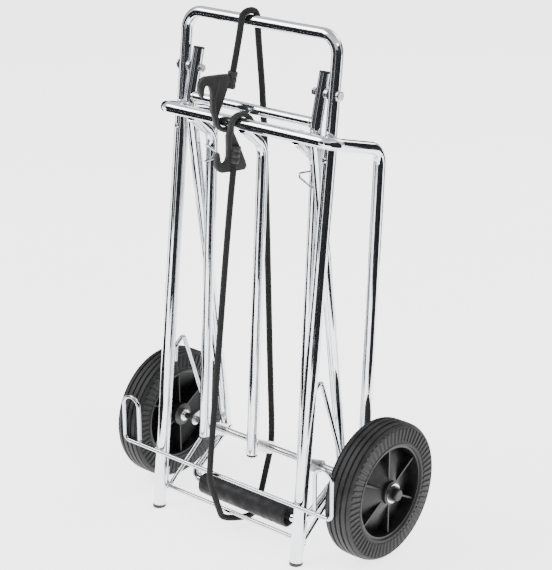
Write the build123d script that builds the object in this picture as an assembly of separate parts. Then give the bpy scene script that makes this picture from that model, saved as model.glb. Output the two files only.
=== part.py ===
from build123d import *
import math
import os

# Folding beach cart, folded up and standing on its two feet and two wheels.
# Millimetres, +Z up. X runs along the axle, -Y is the front, and the origin lies on
# the floor under the middle of the cart. Left is -X and right is +X.

os.makedirs("parts", exist_ok=True)

SIDES = {"left": -1, "right": 1}
FIT = 0.1            # radial play of a pin or a tube that slides into another
GAP = 0.4            # smallest gap between two bodies that pass each other

# Legs and the handle hoop that slides into them
FOOT_Y = -95.2       # line through the middle of both feet, on the floor
LEAN = 0.117         # how far back the legs go for each mm of height
LEG_X = 133.0
LEG_OD = 19.0
LEG_WALL = 1.4
LEG_TOP = 600.0
FOOT_PLUG = 4.0      # black foot below the end of the tube
FOOT_STEM = 16.0     # how far its stem reaches into the tube
HOOP_TOP = 732.0
HOOP_WALL = 1.4
HOOP_BEND = 26.0
HOOP_INSERT = 70.0
RIVET_Z = 573.0
RIVET_OD = 4.0
RIVET_HEAD = 7.5

# Axle and wheels
AXLE_BACK = 101.4    # behind the foot line
AXLE_Z = 100.0
AXLE_OD = 10.0
AXLE_HALF = 229.0
WHEEL_OD = 200.0
WHEEL_X = 200.0
TYRE_WIDTH = 44.0
TYRE_BORE = 136.0
TREAD_GROOVES = 3
RIM_WALL = 3.0
RIM_DISC = 3.2
RIM_DISH = 8.0
HUB_OD = 34.0
WEBS = 6
WEB = 2.4
BUSH_OD = 16.0
WASHER_OD = 28.0
WASHER = 1.6
HUB_CAP_OD = 17.0
HUB_CAP_FLANGE = 22.0

# Round wire under and in front of the legs
WIRE = 6.0
FRONT_WIRE_Z = 91.0
HOOK_OUT_X = 198.0
HOOK_IN_X = 168.0
HOOK_TOP = 163.0
LOWER_WIRE_Z = 28.0
STAY_X = 130.0
STAY_TOP = 258.5
STAY_TOP_BACK = 57.0

# Pivots of the pull handle
PIVOT_Z = 656.0
BOLT_OD = 6.0
BOLT_HEAD = 15.0
BOLT_DOME = 3.4
NUT_AF = 10.0
NUT = 5.0

# Pull handle
PULL_X = 112.0
PULL_OD = 16.0
PULL_WALL = 1.4
STUB_UP = 25.5       # stub above the pivot
STUB_DOWN = 49.0     # pivot to the bend
STUB_LEAN = 0.2725
PULL_LEAN = -0.124
PULL_BEND = 60.0
PULL_END_Z = 95.0
SPREADER_OD = 14.0
SPREADER_Z = 617.0
BOW_OD = 13.0
BOW_WALL = 1.5
BOW_BEND = 24.0
GRIP_BACK = 46.5     # behind the foot line
GRIP_Z = 37.6
GRIP_OD = 34.0
GRIP_HALF = 82.0
BOW_X = 109.5
BOW_END_X = 112.0
BOW_END_Z = 91.0

# Deck: a bent hoop and three bars, hinged on the axle
RAIL_X = 152.0
RAIL_OD = 17.0
RAIL_WALL = 1.4
CROSS_BACK = 48.0
CROSS_Z = 600.0
CORNER_BACK = 152.0
CORNER_Z = 571.0
RAIL_LOW_BACK = 124.0
RAIL_LOW_Z = 96.0
CROSS_BEND = 17.0
CORNER_BEND = 26.0
BAR_XS = {"left": -94.0, "centre": 0.0, "right": 94.0}
BAR_OD = 16.0
BAR_LOW_BACK = 59.0
BAR_LOW_Z = 106.0
BAR_HIGH_BACK = 88.0
BAR_HIGH_Z = 562.0
BAR_BEND = 30.0
PLUG = 4.0
LUG = 3.0
LUG_OD = 18.0
LOOP_WIRE = 3.0
LOOP_Z = 565.0

# Bungee: the points of its centre line, and how tightly it turns at each of them
CORD_OD = 9.0
CORD_ROUTE = [
    (-31.0, -36.7, 648.0),
    (-21.0, -20.6, 745.2),
    (-19.0, 3.8, 745.2),
    (-9.5, 6.8, 596.0),
    (-10.0, 16.4, 97.1),
    (8.0, -38.1, 13.7),
    (-14.0, -85.5, 20.9),
    (-19.0, -105.6, 90.2),
    (-3.5, -58.9, 566.0),
]
CORD_TURNS = [11.8, 11.8, 180.0, 9.5, 21.5, 7.6, 7.6]
HOOK_PLATE = 9.0     # thickness of a hook across its flat
HOOK_STRAP = 5.5     # thickness of the hook round the bar
HOOK_TWIST = 22.0    # how far a hook's flat turns away from square to the bar
HOOK_TIP = 12.0      # the hook's point stops this far above the level of its centre
SOCKET_OD = 14.0
SOCKET_LONG = 24.0
SOCKET_DEEP = 18.0

AXLE_Y = FOOT_Y + AXLE_BACK
CROSS_Y = FOOT_Y + CROSS_BACK
GRIP_Y = FOOT_Y + GRIP_BACK


def leg_y(z):
    """Back position of the middle of a leg, or of the hoop above it, at a height."""
    return FOOT_Y + LEAN * z


def route(points, bends):
    """Centre line through the points, rounded at each inner one."""
    if len(points) == 2:
        return Line(*points)
    return FilletPolyline(*points, radius=bends)


def rod(points, bends, diameter):
    """Solid round bar or wire along a route."""
    line = route(points, bends)
    section = Plane(origin=line @ 0, z_dir=line % 0) * Circle(diameter / 2)
    return sweep(section, path=line)


def tube(points, bends, diameter, wall):
    """Round tube along a route, open at both ends."""
    line = route(points, bends)
    end = Plane(origin=line @ 0, z_dir=line % 0)
    outer = sweep(end * Circle(diameter / 2), path=line)
    inner = sweep(end * Circle(diameter / 2 - wall), path=line)
    return outer - inner


def bar_between(start, end, diameter):
    """Straight round bar from one point to another."""
    return rod([start, end], [], diameter)


def across(x, y, z, diameter, length):
    """Cylinder along X, centred on a point."""
    return Pos(x, y, z) * Rot(0, 90, 0) * Cylinder(diameter / 2, length)


def ring(x, y, z, outer, bore, width):
    """Washer or sleeve along X, centred on a point."""
    return across(x, y, z, outer, width) - across(x, y, z, bore, width + 2)


# ---------------------------------------------------------------- legs and hoop

def pivot_y():
    """Where the pull handle's bolts stand: on the middle line of the hoop."""
    return leg_y(PIVOT_Z)


def hoop():
    """Upper handle hoop, its ends inside the legs."""
    low = LEG_TOP - HOOP_INSERT
    points = [
        (-LEG_X, leg_y(low), low),
        (-LEG_X, leg_y(HOOP_TOP), HOOP_TOP),
        (LEG_X, leg_y(HOOP_TOP), HOOP_TOP),
        (LEG_X, leg_y(low), low),
    ]
    bent = tube(points, HOOP_BEND, LEG_OD - 2 * LEG_WALL - 2 * FIT, HOOP_WALL)
    for side in SIDES.values():
        bent -= across(side * LEG_X, pivot_y(), PIVOT_Z, BOLT_OD + 2 * FIT, 40)
        bent -= rivet_hole(side)
    return bent


def hoop_od():
    """Diameter of the hoop: it slides into the legs."""
    return LEG_OD - 2 * LEG_WALL - 2 * FIT


def rivet_hole(side):
    """Hole for the rivet that holds the hoop in a leg."""
    middle = Pos(side * LEG_X, leg_y(RIVET_Z), RIVET_Z)
    return middle * Rot(90, 0, 0) * Cylinder(RIVET_OD / 2, 3 * LEG_OD)


def leg(side):
    """Front leg: a straight tube that leans back."""
    foot = (side * LEG_X, leg_y(FOOT_PLUG), FOOT_PLUG)
    top = (side * LEG_X, leg_y(LEG_TOP), LEG_TOP)
    return tube([foot, top], [], LEG_OD, LEG_WALL) - rivet_hole(side)


def foot_plug(side):
    """Black foot: a stem in the leg's tube and a head cut level with the floor."""
    low = (side * LEG_X, leg_y(-10), -10)
    foot = (side * LEG_X, leg_y(FOOT_PLUG), FOOT_PLUG)
    above = (side * LEG_X, leg_y(FOOT_PLUG + FOOT_STEM), FOOT_PLUG + FOOT_STEM)
    head = bar_between(low, foot, LEG_OD + 0.6)
    stem = bar_between(foot, above, hoop_od())
    return head + stem - Pos(0, FOOT_Y, -25) * Box(2 * LEG_X + 100, 100, 50)


def rivet(side):
    """Domed rivet through a leg and the hoop inside it."""
    reach = LEG_OD / 2 + 0.6
    pin = Rot(90, 0, 0) * Cylinder(RIVET_OD / 2 - 0.05, 2 * reach)
    head = Rot(90, 0, 0) * Cone(RIVET_HEAD / 2, RIVET_HEAD / 3, 1.6)
    tail = Rot(-90, 0, 0) * Cone(RIVET_HEAD / 2, RIVET_HEAD / 3, 1.6)
    pieces = pin + Pos(0, -reach - 0.8, 0) * head + Pos(0, reach + 0.8, 0) * tail
    return Pos(side * LEG_X, leg_y(RIVET_Z), RIVET_Z) * pieces


# ---------------------------------------------------------------- pivots

def pivot_bolt(side):
    """Domed bolt through the hoop, a spacer and the pull handle's stub."""
    inner = PULL_X - PULL_OD / 2 - NUT - 1.4
    outer = LEG_X + hoop_od() / 2
    shank = across((inner + outer) / 2, 0, 0, BOLT_OD, outer - inner)
    head = across(outer + BOLT_DOME / 2, 0, 0, BOLT_HEAD, BOLT_DOME)
    rims = head.edges().filter_by(GeomType.CIRCLE).sort_by(Axis.X)
    bolt = shank + fillet(rims[-1], BOLT_DOME - 0.6)
    return place(bolt, side, pivot_y(), PIVOT_Z)


def place(shape, side, y, z):
    """Move a right-hand piece to its place, mirrored for the left side."""
    if side < 0:
        shape = mirror(shape, Plane.YZ)
    return Pos(0, y, z) * shape


def pivot_nut(side):
    """Lock nut on the inner end of a pivot bolt."""
    face = PULL_X - PULL_OD / 2 - GAP
    hexagon = Plane(origin=(face, 0, 0), z_dir=(-1, 0, 0)) * RegularPolygon(NUT_AF / 2, 6, False)
    nut = extrude(hexagon, NUT) - across(face, 0, 0, BOLT_OD, 30)
    return place(nut, side, pivot_y(), PIVOT_Z)


def pivot_spacer(side):
    """Washer between the hoop and the pull handle's stub."""
    outer = LEG_X - hoop_od() / 2
    inner = PULL_X + PULL_OD / 2 + GAP
    spacer = ring((inner + outer) / 2, 0, 0, 14.0, BOLT_OD + 0.1, outer - inner)
    return place(spacer, side, pivot_y(), PIVOT_Z)


# ---------------------------------------------------------------- wires

def leg_face(z, way):
    """Where a wire lies against a leg: in front of it (-1) or behind it (+1)."""
    return leg_y(z) + way * (LEG_OD + WIRE) / 2 * math.sqrt(1 + LEAN * LEAN)


def front_wire():
    """Wire across the front of the legs, bent up into a hook at each end."""
    y = leg_face(FRONT_WIRE_Z, -1)
    half = (HOOK_OUT_X - HOOK_IN_X) / 2
    points = [
        (-HOOK_IN_X, y, FRONT_WIRE_Z + WIRE + 1),
        (-HOOK_IN_X, y, HOOK_TOP),
        (-HOOK_OUT_X, y, HOOK_TOP),
        (-HOOK_OUT_X, y, FRONT_WIRE_Z),
        (HOOK_OUT_X, y, FRONT_WIRE_Z),
        (HOOK_OUT_X, y, HOOK_TOP),
        (HOOK_IN_X, y, HOOK_TOP),
        (HOOK_IN_X, y, FRONT_WIRE_Z + WIRE + 1),
    ]
    bend = half - 0.05
    return rod(points, [bend, bend, 9.0, 9.0, bend, bend], WIRE)


def lower_wire():
    """Wire across the back of the legs near the floor, its ends turned up."""
    y = leg_face(LOWER_WIRE_Z, 1)
    top = LOWER_WIRE_Z + 30
    points = [
        (-LEG_X, leg_face(top, 1), top),
        (-LEG_X, y, LOWER_WIRE_Z),
        (LEG_X, y, LOWER_WIRE_Z),
        (LEG_X, leg_face(top, 1), top),
    ]
    return rod(points, 10.0, WIRE)


def axle_stay(side):
    """Wire bent round the back of the axle, welded to a leg above and below."""
    turn = (AXLE_OD + WIRE) / 2 + 0.05
    low_y = leg_face(LOWER_WIRE_Z, 1) + WIRE
    top_y = FOOT_Y + STAY_TOP_BACK
    low = tangent_line((low_y, LOWER_WIRE_Z), turn, -1)
    high = tangent_line((top_y, STAY_TOP), turn, 1)
    back_y, back_z = crossing((low_y, LOWER_WIRE_Z), low, (top_y, STAY_TOP), high)
    weld = STAY_TOP - 12
    points = [
        (side * STAY_X, low_y, LOWER_WIRE_Z),
        (side * STAY_X, back_y, back_z),
        (side * STAY_X, top_y, STAY_TOP),
        (side * STAY_X, leg_face(weld, 1) + 0.1, weld),
        (side * STAY_X, leg_face(weld - 24, 1) + 0.1, weld - 24),
    ]
    return rod(points, [turn, 5.0, 5.0], WIRE)


def tangent_line(point, radius, way):
    """Angle, in the Y-Z plane, of the line from a point that grazes the axle's ring."""
    dy = AXLE_Y - point[0]
    dz = AXLE_Z - point[1]
    away = math.hypot(dy, dz)
    return math.atan2(dz, dy) + way * math.asin(radius / away)


def crossing(first, first_angle, second, second_angle):
    """Point where two lines in the Y-Z plane meet."""
    a, b = math.cos(first_angle), math.sin(first_angle)
    c, d = math.cos(second_angle), math.sin(second_angle)
    run = ((second[0] - first[0]) * d - (second[1] - first[1]) * c) / (a * d - b * c)
    return first[0] + run * a, first[1] + run * b


# ---------------------------------------------------------------- axle and wheels

def axle():
    """Axle that carries the wheels and the deck."""
    return across(0, AXLE_Y, AXLE_Z, AXLE_OD, 2 * AXLE_HALF)


def wheel_face():
    """Distance from the cart's middle to the outer end of a wheel's hub."""
    return WHEEL_X + TYRE_WIDTH / 2


def hub_washer(side):
    """Bright washer outside a wheel."""
    x = wheel_face() + 0.3 + WASHER / 2
    return ring(side * x, AXLE_Y, AXLE_Z, WASHER_OD, AXLE_OD + 2 * FIT, WASHER)


def hub_cap(side):
    """Push-on cap over the end of the axle."""
    start = wheel_face() + 0.3 + WASHER
    end = AXLE_HALF + 5
    flange = across(start + 1.5, 0, 0, HUB_CAP_FLANGE, 3)
    barrel = across((start + end) / 2, 0, 0, HUB_CAP_OD, end - start)
    barrel = fillet(barrel.edges().filter_by(GeomType.CIRCLE).sort_by(Axis.X)[-1], 2.5)
    cap = flange + barrel - across((start + AXLE_HALF) / 2, 0, 0, AXLE_OD, AXLE_HALF - start)
    return place(cap, side, AXLE_Y, AXLE_Z)


def axle_collar(side):
    """Collar that keeps a wheel from sliding in along the axle."""
    x = WHEEL_X - TYRE_WIDTH / 2 - GAP - 2
    return ring(side * x, AXLE_Y, AXLE_Z, 18.0, AXLE_OD, 4)


def turned(profile):
    """Solid made by turning a profile, drawn in X and radius, about the axle."""
    face = make_face(Polyline(*profile, close=True))
    face = Plane(origin=(0, 0, 0), x_dir=(1, 0, 0), z_dir=(0, -1, 0)) * face
    return revolve(face, Axis.X)


def tyre(side):
    """Rubber tyre with flat sides, round shoulders and grooves in its tread."""
    half = TYRE_WIDTH / 2
    outer = WHEEL_OD / 2
    bore = TYRE_BORE / 2
    body = turned([(-half + 3, bore), (half - 3, bore), (half, bore + 5), (half, outer - 10),
                   (half - 5, outer - 2), (half - 12, outer), (12 - half, outer),
                   (5 - half, outer - 2), (-half, outer - 10), (-half, bore + 5)])
    for number in range(TREAD_GROOVES):
        x = (number - (TREAD_GROOVES - 1) / 2) * 9.0
        body -= turned([(x - 1.2, outer - 2.5), (x + 1.2, outer - 2.5), (x + 1.6, outer + 1),
                        (x - 1.6, outer + 1)])
    return place(Pos(WHEEL_X, 0, 0) * body, side, AXLE_Y, AXLE_Z)


def rim(side):
    """Plastic rim: barrel, dished disc, hub and thin radial webs."""
    half = TYRE_WIDTH / 2
    bore = TYRE_BORE / 2
    inner = bore - RIM_WALL
    hub = HUB_OD / 2
    barrel = turned([(-half + 3, inner), (half - 3, inner), (half - 3, bore), (-half + 3, bore)])
    disc = turned([(half - RIM_DISH, hub - 2), (half - RIM_DISH + RIM_DISC, hub - 2),
                   (RIM_DISC - 4, inner + 1), (-4, inner + 1)])
    core = turned([(-half, BUSH_OD / 2), (half, BUSH_OD / 2), (half, hub), (-half, hub)])
    body = barrel + disc + core
    for number in range(WEBS):
        angle = number * 360 / WEBS
        reach = inner + 1 - (hub - 2)
        fin = Pos(0, 0, hub - 2 + reach / 2) * Box(2 * half - 12, WEB, reach)
        body += Rot(angle, 0, 0) * fin
    return place(Pos(WHEEL_X, 0, 0) * body, side, AXLE_Y, AXLE_Z)


def bush(side):
    """Sleeve in the hub that turns on the axle."""
    return ring(side * WHEEL_X, AXLE_Y, AXLE_Z, BUSH_OD, AXLE_OD + 2 * FIT, TYRE_WIDTH)


# ---------------------------------------------------------------- pull handle

def bend_point():
    """Where the pull handle's tubes bend, just behind the deck's crossbar."""
    step = STUB_DOWN / math.sqrt(1 + STUB_LEAN ** 2)
    return pivot_y() - STUB_LEAN * step, PIVOT_Z - step


def stub_top():
    """Upper end of a pull tube."""
    step = STUB_UP / math.sqrt(1 + STUB_LEAN ** 2)
    return pivot_y() + STUB_LEAN * step, PIVOT_Z + step


def pull_low_y(z):
    """Back position of the long straight part of a pull tube at a height."""
    bend_y, bend_z = bend_point()
    return bend_y + PULL_LEAN * (z - bend_z)


def spreader_y():
    """Back position of the spreader, on the line of the stubs."""
    return pivot_y() - STUB_LEAN * (PIVOT_Z - SPREADER_Z)


def pull_tube(side):
    """Bent tube from the pivot down to the grip's bow."""
    bend_y, bend_z = bend_point()
    top_y, top_z = stub_top()
    points = [
        (side * PULL_X, top_y, top_z),
        (side * PULL_X, bend_y, bend_z),
        (side * PULL_X, pull_low_y(PULL_END_Z), PULL_END_Z),
    ]
    body = tube(points, PULL_BEND, PULL_OD, PULL_WALL)
    body -= across(side * PULL_X, pivot_y(), PIVOT_Z, BOLT_OD + 2 * FIT, 40)
    return body - rod(bow_points(), BOW_BEND, BOW_OD)


def pull_cap(side):
    """Black cap in the upper end of a pull tube."""
    top_y, top_z = stub_top()
    along = Plane(origin=(side * PULL_X, top_y, top_z), z_dir=(0, STUB_LEAN, 1))
    head = extrude(along * Circle(PULL_OD / 2), 3)
    head = fillet(head.edges().sort_by(Axis.Z)[-1], 1.5)
    return head + extrude(along * Circle(PULL_OD / 2 - PULL_WALL), -8)


def bow_points():
    """Route of the bow that carries the grip."""
    end_y = pull_low_y(PULL_END_Z) + 6
    return [
        (-BOW_END_X, end_y, BOW_END_Z),
        (-BOW_X, GRIP_Y, GRIP_Z),
        (BOW_X, GRIP_Y, GRIP_Z),
        (BOW_END_X, end_y, BOW_END_Z),
    ]


def grip_bow():
    """Thinner tube, bent under the axle, that carries the grip."""
    return tube(bow_points(), BOW_BEND, BOW_OD, BOW_WALL)


def hand_grip():
    """Ribbed roller on the bow."""
    body = across(0, GRIP_Y, GRIP_Z, GRIP_OD, 2 * GRIP_HALF)
    body = chamfer(body.edges().filter_by(GeomType.CIRCLE), 1.5)
    for side in SIDES.values():
        body -= across(side * GRIP_HALF, GRIP_Y, GRIP_Z, GRIP_OD - 7, 16)
    return body - across(0, GRIP_Y, GRIP_Z, BOW_OD + 2 * FIT, 4 * GRIP_HALF)


def spreader():
    """Cross tube between the two pull tubes."""
    length = 2 * (PULL_X - 4)
    outer = across(0, spreader_y(), SPREADER_Z, SPREADER_OD, length)
    body = outer - across(0, spreader_y(), SPREADER_Z, SPREADER_OD - 2.8, length + 2)
    body -= screw_hole()
    bend_y, bend_z = bend_point()
    top_y, top_z = stub_top()
    for side in SIDES.values():
        line = [(side * PULL_X, top_y, top_z), (side * PULL_X, bend_y, bend_z),
                (side * PULL_X, pull_low_y(PULL_END_Z), PULL_END_Z)]
        body -= rod(line, PULL_BEND, PULL_OD)
    return largest(body)


def largest(shape):
    """The biggest of the separate solids in a shape."""
    return shape.solids().sort_by(SortBy.VOLUME)[-1]


def screw_hole():
    """Hole for the screw in the middle of the spreader."""
    return Pos(0, spreader_y(), SPREADER_Z) * Rot(90, 0, 0) * Cylinder(2.0, 40)


def spreader_screw():
    """Pan-head screw through the middle of the spreader."""
    reach = SPREADER_OD / 2
    pin = Rot(90, 0, 0) * Cylinder(1.95, 2 * reach)
    head = Pos(0, -reach - 1.2, 0) * Rot(90, 0, 0) * Cylinder(3.6, 2.4)
    nut = Pos(0, reach + 1.0, 0) * Rot(90, 0, 0) * Cylinder(3.2, 2.0)
    return Pos(0, spreader_y(), SPREADER_Z) * (pin + head + nut)


# ---------------------------------------------------------------- deck

def cross_solid():
    """Straight stretch of the deck's crossbar, used to fit the bars to it."""
    return across(0, CROSS_Y, CROSS_Z, RAIL_OD, 2 * RAIL_X)


def deck_hoop():
    """Bent tube: crossbar in front of the legs, arms round them, rails behind."""
    points = []
    for side in (-1, 1):
        low = (side * RAIL_X, FOOT_Y + RAIL_LOW_BACK, RAIL_LOW_Z)
        corner = (side * RAIL_X, FOOT_Y + CORNER_BACK, CORNER_Z)
        front = (side * RAIL_X, CROSS_Y, CROSS_Z)
        points += [low, corner, front] if side < 0 else [front, corner, low]
    bends = [CORNER_BEND, CROSS_BEND, CROSS_BEND, CORNER_BEND]
    body = tube(points, bends, RAIL_OD, RAIL_WALL)
    for side in SIDES.values():
        body -= lug_plate(side * RAIL_X, FOOT_Y + RAIL_LOW_BACK, RAIL_LOW_Z + 10)
    return body


def lug_plate(x, y, z):
    """Flat plate from a tube's lower end to the axle, with no hole yet."""
    run = math.hypot(AXLE_Y - y, AXLE_Z - z)
    tilt = math.degrees(math.atan2(AXLE_Z - z, AXLE_Y - y))
    outline = Pos(run / 2, 0) * SlotCenterToCenter(run, LUG_OD)
    side = Plane(origin=(x - LUG / 2, y, z), x_dir=(0, 1, 0), z_dir=(1, 0, 0))
    return extrude(side * (Rot(0, 0, tilt) * outline), LUG)


def lug(x, y, z):
    """Flat hinge plate, bored for the axle."""
    return lug_plate(x, y, z) - across(x, AXLE_Y, AXLE_Z, AXLE_OD + 2 * FIT, 20)


def bar_line(x):
    """Route of a deck bar: up beside the legs, then forward to the crossbar."""
    return [
        (x, FOOT_Y + BAR_LOW_BACK, BAR_LOW_Z),
        (x, FOOT_Y + BAR_HIGH_BACK, BAR_HIGH_Z),
        (x, CROSS_Y, CROSS_Z - 5),
    ]


def deck_bar(x):
    """One of the three bars of the deck, fitted to the back of the crossbar."""
    body = tube(bar_line(x), BAR_BEND, BAR_OD, RAIL_WALL)
    body -= cross_solid()
    body -= lug_plate(x, *bar_lug_root())
    return largest(body)


def bar_lug_root():
    """Y and Z of the point on a deck bar that its hinge plate is let into."""
    z = BAR_LOW_Z + 12
    slope = (BAR_HIGH_BACK - BAR_LOW_BACK) / (BAR_HIGH_Z - BAR_LOW_Z)
    return FOOT_Y + BAR_LOW_BACK + 12 * slope + 3, z


def bar_plug(x):
    """Black plug in the lower end of a deck bar."""
    low, high = bar_line(x)[:2]
    down = Vector(*low) - Vector(*high)
    end = Plane(origin=low, z_dir=down)
    head = extrude(end * Circle(BAR_OD / 2), PLUG)
    return chamfer(head.edges().sort_by(Axis.Z)[0], 1.2)


def wire_loop(side):
    """Bent wire loop on the front of an outer deck bar."""
    slope = (BAR_HIGH_BACK - BAR_LOW_BACK) / (BAR_HIGH_Z - BAR_LOW_Z)
    reach = (BAR_OD * math.sqrt(1 + slope * slope) + LOOP_WIRE) / 2

    def spot(x, z):
        y = FOOT_Y + BAR_LOW_BACK + slope * (z - BAR_LOW_Z) - reach
        return (side * x, y, z)

    middle = BAR_XS["right"]
    points = [spot(middle + 4, LOOP_Z - 18), spot(middle - 27, LOOP_Z - 28),
              spot(middle + 4, LOOP_Z - 42)]
    return rod(points, 4.0, LOOP_WIRE)


# ---------------------------------------------------------------- bungee

def cord():
    """Woven elastic cord, from one hook round the folded cart to the other."""
    return rod(CORD_ROUTE, CORD_TURNS, CORD_OD)


def cord_length():
    """Length of the cord's centre line."""
    return route(CORD_ROUTE, CORD_TURNS).length


def throat():
    """Inner radius of a hook that leaves the bar room although it is turned."""
    turn = math.radians(HOOK_TWIST)
    return (RAIL_OD / 2 + 3 * GAP) / math.cos(turn) + HOOK_PLATE / 2 * math.tan(turn)


def hook_outline():
    """Flat shape of a hook that hangs over a bar at its origin, cord end down."""
    inner = throat()
    outer = inner + HOOK_STRAP
    top = RAIL_OD / 2 + 3 * GAP - inner
    tip_in = PolarLine((0, top), inner, HOOK_TIP) @ 1
    tip_out = PolarLine((0, top), outer, HOOK_TIP) @ 1
    edge = Polyline((-inner, top), (-inner, -10), (6, -58), (2, -64), (-34, -64), (-41, -54),
                    (-38, -36), (-33, -35), (-31, -50), (-27, -52), (-24.5, -44), (-25, -14),
                    (-outer, top))
    over = ThreePointArc(edge @ 1, (0, top + outer), tip_out)
    under = ThreePointArc(tip_in, (0, top + inner), edge @ 0)
    return make_face(edge + over + Line(tip_out, tip_in) + under)


def moulded_hook(end, up):
    """Bungee hook round the crossbar: up is +1 over it, -1 under it, cord end away."""
    x = end[0]
    bar = Plane(origin=(x, CROSS_Y, CROSS_Z), x_dir=(0, 1, 0), z_dir=(1, 0, 0))
    plate = extrude(bar * hook_outline(), HOOK_PLATE / 2, both=True)
    if up < 0:
        plate = mirror(plate, Plane(origin=(0, 0, CROSS_Z), z_dir=(0, 0, 1)))
    pin = Axis((x, CROSS_Y, CROSS_Z), (0, 0, 1))
    return plate.rotate(pin, -HOOK_TWIST)


def socketed_hook(end, inward, up):
    """A moulded hook with the round socket that the cord's end sits in."""
    end = Vector(*end)
    way = (Vector(*inward) - end).normalized()
    base = Plane(origin=end - way * (SOCKET_LONG - SOCKET_DEEP), z_dir=way)
    boss = extrude(base * Circle(SOCKET_OD / 2), SOCKET_LONG)
    bore = extrude(Plane(origin=end - way * 0.3, z_dir=way) * Circle(CORD_OD / 2 + 0.3), 60)
    return largest(moulded_hook(tuple(end), up) + boss - bore)


# ---------------------------------------------------------------- export

parts = {
    "handle_hoop": hoop(),
    "front_wire": front_wire(),
    "lower_wire": lower_wire(),
    "axle": axle(),
    "deck_hoop": deck_hoop(),
    "grip_bow": grip_bow(),
    "hand_grip": hand_grip(),
    "spreader_tube": spreader(),
    "spreader_screw": spreader_screw(),
    "bungee_cord": cord(),
    "bungee_hook_upper": socketed_hook(CORD_ROUTE[0], CORD_ROUTE[1], -1),
    "bungee_hook_lower": socketed_hook(CORD_ROUTE[-1], CORD_ROUTE[-2], 1),
}

for name, side in SIDES.items():
    parts["leg_" + name] = leg(side)
    parts["foot_plug_" + name] = foot_plug(side)
    parts["hoop_rivet_" + name] = rivet(side)
    parts["pivot_bolt_" + name] = pivot_bolt(side)
    parts["pivot_nut_" + name] = pivot_nut(side)
    parts["pivot_spacer_" + name] = pivot_spacer(side)
    parts["axle_stay_" + name] = axle_stay(side)
    parts["hub_washer_" + name] = hub_washer(side)
    parts["hub_cap_" + name] = hub_cap(side)
    parts["axle_collar_" + name] = axle_collar(side)
    parts["tyre_" + name] = tyre(side)
    parts["rim_" + name] = rim(side)
    parts["wheel_bush_" + name] = bush(side)
    parts["pull_tube_" + name] = pull_tube(side)
    parts["pull_cap_" + name] = pull_cap(side)
    parts["rail_lug_" + name] = lug(side * RAIL_X, FOOT_Y + RAIL_LOW_BACK, RAIL_LOW_Z + 10)
    parts["wire_loop_" + name] = wire_loop(side)

for name, x in BAR_XS.items():
    parts["deck_bar_" + name] = deck_bar(x)
    parts["bar_plug_" + name] = bar_plug(x)
    parts["bar_lug_" + name] = lug(x, *bar_lug_root())

for name, shape in parts.items():
    export_step(shape, "parts/" + name + ".step")

print("nodes", len(parts))
print("bungee cord", round(cord_length(), 1), "mm, turns", CORD_TURNS)
section_area = math.pi * CORD_OD ** 2 / 4
print("cord volume", round(parts["bungee_cord"].volume), "of", round(section_area * cord_length()))
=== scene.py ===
"""Looks of the folding beach cart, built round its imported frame. Lengths are in metres."""
import logging
import math
from dataclasses import dataclass
from enum import Enum
from typing import Callable, Iterable, Mapping, Sequence

import bmesh
import bpy
from mathutils import Matrix, Vector, noise


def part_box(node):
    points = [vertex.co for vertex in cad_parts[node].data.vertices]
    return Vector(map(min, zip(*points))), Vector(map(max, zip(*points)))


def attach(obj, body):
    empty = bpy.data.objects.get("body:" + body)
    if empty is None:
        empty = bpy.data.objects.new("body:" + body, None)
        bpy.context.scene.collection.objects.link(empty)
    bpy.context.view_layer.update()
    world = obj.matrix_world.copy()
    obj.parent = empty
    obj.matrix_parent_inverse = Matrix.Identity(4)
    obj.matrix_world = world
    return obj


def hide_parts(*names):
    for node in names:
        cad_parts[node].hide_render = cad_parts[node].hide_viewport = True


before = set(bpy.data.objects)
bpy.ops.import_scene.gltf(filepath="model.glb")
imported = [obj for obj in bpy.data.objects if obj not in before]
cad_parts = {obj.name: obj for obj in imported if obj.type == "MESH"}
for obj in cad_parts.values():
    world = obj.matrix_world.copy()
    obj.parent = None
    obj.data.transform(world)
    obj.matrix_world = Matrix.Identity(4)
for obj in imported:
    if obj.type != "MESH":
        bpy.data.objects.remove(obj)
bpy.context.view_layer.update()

log = logging.getLogger("beach_cart")
Colour = tuple[float, float, float, float]
Point = tuple[float, float, float]

MM = 0.001
TURN = 2 * math.pi

# Sockets of the Mix node that carry colours
FIRST_COLOUR, SECOND_COLOUR, MIXED_COLOUR = 6, 7, 2


class Side(Enum):
    """A side of the cart and the sign of X on it."""

    LEFT = -1
    RIGHT = 1

    @property
    def label(self) -> str:
        """Word that ends the names of the nodes on this side."""
        return self.name.lower()


# ---------------------------------------------------------------- shader language


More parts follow.
